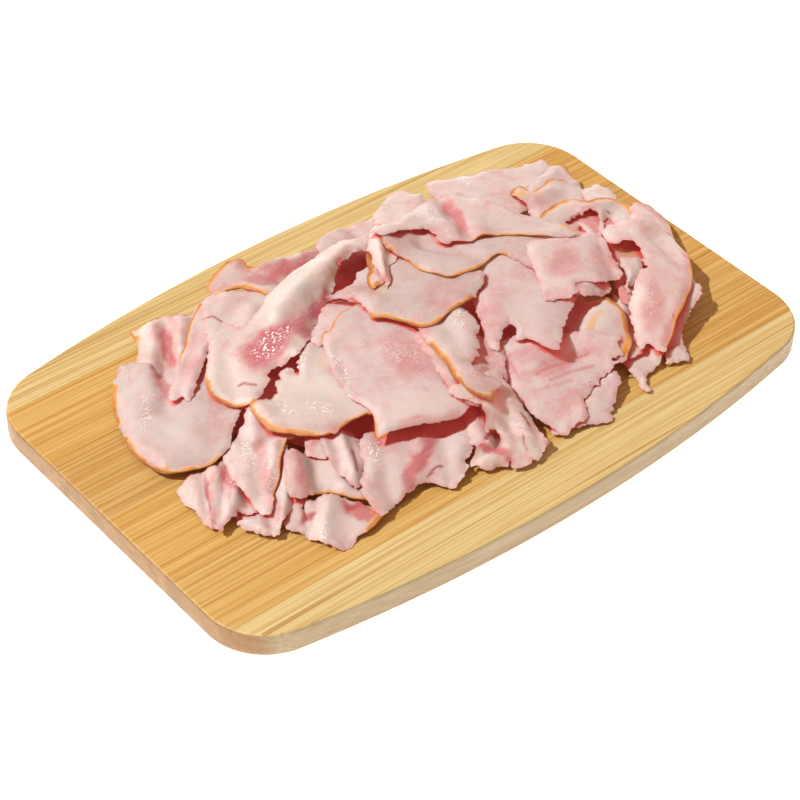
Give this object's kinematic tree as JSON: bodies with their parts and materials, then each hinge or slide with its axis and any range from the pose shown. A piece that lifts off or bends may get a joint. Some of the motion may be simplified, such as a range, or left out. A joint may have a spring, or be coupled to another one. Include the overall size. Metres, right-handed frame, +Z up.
{
  "type": "serving board with shaved ham",
  "caption": "Bowed rectangular serving board of edge-glued bamboo strips carrying a loose pile of thin shaved ham slices, folded, torn and rind-edged.",
  "frame": {"origin": "centre of the board's underside", "axes": "+X along the board's long side, +Y across it towards the far long side, +Z up"},
  "size_m": [0.38, 0.254, 0.0595],
  "materials": {
    "bamboo_centre": "satin",
    "bamboo_plank": "satin",
    "ham_pink": "gloss",
    "ham_pale": "gloss",
    "ham_muscle": "gloss"
  },
  "bodies": {
    "board": {"board_plank_far": "bamboo_plank", "board_plank_near": "bamboo_plank", "board_stave_1": "bamboo_centre", "board_stave_2": "bamboo_centre", "board_stave_3": "bamboo_centre", "board_stave_4": "bamboo_centre"},
    "ham_pile": {"buried_slice_1": "ham_pink", "buried_slice_2": "ham_pink", "scrap_centre_knot": "ham_pale", "scrap_centre_rind": "ham_pink", "scrap_far_left": "ham_muscle", "scrap_far_right": "ham_pink", "scrap_far_right_end": "ham_pale", "scrap_near": "ham_pink", "scrap_near_left": "ham_pink", "scrap_near_upper": "ham_pale", "scrap_right": "ham_pale", "scrap_right_centre": "ham_pink", "scrap_right_upper": "ham_pink", "slice_centre_flap": "ham_pink", "slice_centre_hollow": "ham_muscle", "slice_centre_top": "ham_pink", "slice_far_centre_rind": "ham_pink", "slice_far_edge": "ham_pink", "slice_far_left": "ham_pale", "slice_far_left_dark": "ham_muscle", "slice_far_middle": "ham_pale", "slice_far_ridge": "ham_pink", "slice_far_right_arch": "ham_pink", "slice_far_right_crinkled": "ham_pink", "slice_far_triangle": "ham_pale", "slice_left_big_fold": "ham_pale", "slice_left_hollow": "ham_muscle", "slice_left_middle": "ham_pink", "slice_left_round": "ham_pink", "slice_left_tall": "ham_pink", "slice_middle_lip": "ham_pink", "slice_middle_under": "ham_muscle", "slice_near_flap": "ham_pink", "slice_near_hanging": "ham_pink", "slice_near_left_curl": "ham_pink", "slice_near_left_fan": "ham_pink", "slice_near_left_middle": "ham_pink", "slice_near_left_tip": "ham_pale", "slice_near_low": "ham_pink", "slice_near_middle_big": "ham_pale", "slice_near_middle_disk": "ham_pink", "slice_near_right_big": "ham_pink", "slice_near_right_corner": "ham_pink", "slice_near_right_hollow": "ham_pink", "slice_near_right_web": "ham_pale", "slice_near_tongue": "ham_pink", "slice_right_centre_big": "ham_pink", "slice_right_centre_flat": "ham_pink", "slice_right_end_big": "ham_pink", "slice_right_hollow": "ham_muscle", "slice_right_low": "ham_pale", "slice_right_middle": "ham_pink", "slice_right_outer": "ham_pink", "strip_right": "ham_pale"}
  },
  "joints": [
    {"name": "ham_lift", "type": "slide", "parent": "board", "child": "ham_pile", "axis": [0, 0, 1], "range_m": [0, 0.1]}
  ]
}
